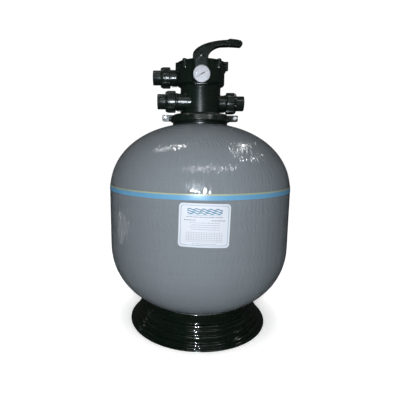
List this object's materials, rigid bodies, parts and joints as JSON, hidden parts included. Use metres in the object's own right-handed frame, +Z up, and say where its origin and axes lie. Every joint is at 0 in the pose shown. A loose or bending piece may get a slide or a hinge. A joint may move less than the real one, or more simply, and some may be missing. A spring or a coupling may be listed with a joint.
{
  "type": "sand filter tank",
  "caption": "Top-mount sand filter for a pool: round fibreglass tank on a stepped base, with a clamped multiport valve, lever handle, pressure gauge and union ports.",
  "frame": {"origin": "on the floor, under the axis of the tank", "axes": "+Z up along the tank's axis; the gauge and label face -Y and the lever points to +X"},
  "size_m": [0.6028, 0.603, 0.9487],
  "materials": {
    "gelcoat": "glossy grey gelcoat over wound glass fibre, slightly uneven",
    "gloss_black": "high-gloss moulded black",
    "valve_black": "satin-gloss moulded black with fine grain",
    "gauge_black": "satin black",
    "band_film": "blue film with a pale pinstripe",
    "label_film": "printed film, pale blue-white",
    "dial_face": "white printed dial",
    "needle_black": "matt black",
    "lens": "clear",
    "brass": "turned",
    "stainless": "bright stainless",
    "rubber": "soft matt",
    "inner_plastic": "plain moulded"
  },
  "bodies": {
    "filter": {"base_stand": "gloss_black", "tank_shell": "gelcoat", "tank_band": "band_film", "rating_label": "label_film", "neck_flange": "valve_black", "flange_oring": "rubber", "clamp_front": "valve_black", "clamp_back": "valve_black", "clamp_bolt_right": "stainless", "clamp_nut_right": "stainless", "clamp_bolt_left": "stainless", "clamp_nut_left": "stainless", "valve_body": "valve_black", "valve_lid": "valve_black", "lid_oring": "rubber", "lid_screw_1": "stainless", "lid_screw_2": "stainless", "lid_screw_3": "stainless", "lid_screw_4": "stainless", "lid_screw_5": "stainless", "lid_screw_6": "stainless", "lid_screw_7": "stainless", "lid_screw_8": "stainless", "spider_gasket": "rubber", "gauge_case": "gauge_black", "gauge_dial": "dial_face", "gauge_lens": "lens", "gauge_stem": "brass", "union_tail_pump": "valve_black", "union_oring_pump": "rubber", "union_tail_return": "valve_black", "union_oring_return": "rubber", "union_tail_waste": "valve_black", "union_oring_waste": "rubber", "standpipe": "inner_plastic", "lateral_hub": "inner_plastic", "diffuser": "inner_plastic"},
    "valve_index": {"friction_washer": "inner_plastic", "spring_washer": "stainless", "rotor_spring": "stainless", "shaft_oring": "rubber"},
    "valve_rotor": {"rotor": "inner_plastic", "handle_pin": "stainless"},
    "valve_lever": {"handle": "valve_black"},
    "needle": {"gauge_needle": "needle_black"},
    "pump_nut": {"union_nut_pump": "valve_black"},
    "return_nut": {"union_nut_return": "valve_black"},
    "waste_nut": {"union_nut_waste": "valve_black"},
    "lateral_arm_1": {"lateral_1": "inner_plastic"},
    "lateral_arm_2": {"lateral_2": "inner_plastic"},
    "lateral_arm_3": {"lateral_3": "inner_plastic"},
    "lateral_arm_4": {"lateral_4": "inner_plastic"},
    "lateral_arm_5": {"lateral_5": "inner_plastic"},
    "lateral_arm_6": {"lateral_6": "inner_plastic"},
    "lateral_arm_7": {"lateral_7": "inner_plastic"},
    "lateral_arm_8": {"lateral_8": "inner_plastic"}
  },
  "joints": [
    {"name": "handle_turn", "type": "hinge", "parent": "filter", "child": "valve_index", "pos_m": [0, 0, 0.885], "axis": [0, 0, 1], "continuous": true},
    {"name": "rotor_lift", "type": "slide", "parent": "valve_index", "child": "valve_rotor", "axis": [0, 0, 1], "range_m": [0, 0.00495], "stiffness_N_per_m": 800, "springref_m": -0.015, "deforming": ["rotor_spring"]},
    {"name": "handle_press", "type": "hinge", "parent": "valve_rotor", "child": "valve_lever", "pos_m": [0, 0, 0.8946], "axis": [0, 1, 0], "range_deg": [0, 18]},
    {"name": "needle_sweep", "type": "hinge", "parent": "filter", "child": "needle", "pos_m": [-0.003, -0.109, 0.818], "axis": [0, 1, 0], "range_deg": [0, 240], "stiffness_Nm_per_rad": 0.0001, "springref_deg": -34.38},
    {"name": "pump_nut_turn", "type": "hinge", "parent": "filter", "child": "pump_nut", "pos_m": [-0.1125, 0.035, 0.834], "axis": [1, 0, 0], "continuous": true},
    {"name": "return_nut_turn", "type": "hinge", "parent": "filter", "child": "return_nut", "pos_m": [-0.093, -0.032, 0.7465], "axis": [1, 0, 0], "continuous": true},
    {"name": "waste_nut_turn", "type": "hinge", "parent": "filter", "child": "waste_nut", "pos_m": [0.0965, 0, 0.7463], "axis": [1, 0, 0], "continuous": true},
    {"name": "lateral_fold_1", "type": "hinge", "parent": "filter", "child": "lateral_arm_1", "pos_m": [0.046, 0, 0.1325], "axis": [0, -1, 0], "range_deg": [0, 80]},
    {"name": "lateral_fold_2", "type": "hinge", "parent": "filter", "child": "lateral_arm_2", "pos_m": [0.03253, 0.03253, 0.1325], "axis": [0.7071, -0.7071, 0], "range_deg": [0, 80]},
    {"name": "lateral_fold_3", "type": "hinge", "parent": "filter", "child": "lateral_arm_3", "pos_m": [0, 0.046, 0.1325], "axis": [1, 0, 0], "range_deg": [0, 80]},
    {"name": "lateral_fold_4", "type": "hinge", "parent": "filter", "child": "lateral_arm_4", "pos_m": [-0.03253, 0.03253, 0.1325], "axis": [0.7071, 0.7071, 0], "range_deg": [0, 80]},
    {"name": "lateral_fold_5", "type": "hinge", "parent": "filter", "child": "lateral_arm_5", "pos_m": [-0.046, 0, 0.1325], "axis": [0, 1, 0], "range_deg": [0, 80]},
    {"name": "lateral_fold_6", "type": "hinge", "parent": "filter", "child": "lateral_arm_6", "pos_m": [-0.03253, -0.03253, 0.1325], "axis": [-0.7071, 0.7071, 0], "range_deg": [0, 80]},
    {"name": "lateral_fold_7", "type": "hinge", "parent": "filter", "child": "lateral_arm_7", "pos_m": [0, -0.046, 0.1325], "axis": [-1, 0, 0], "range_deg": [0, 80]},
    {"name": "lateral_fold_8", "type": "hinge", "parent": "filter", "child": "lateral_arm_8", "pos_m": [0.03253, -0.03253, 0.1325], "axis": [-0.7071, -0.7071, 0], "range_deg": [0, 80]}
  ],
  "couplings": [
    {"joint": "rotor_lift", "follows": "handle_press", "m_per_rad": 0.0156}
  ]
}
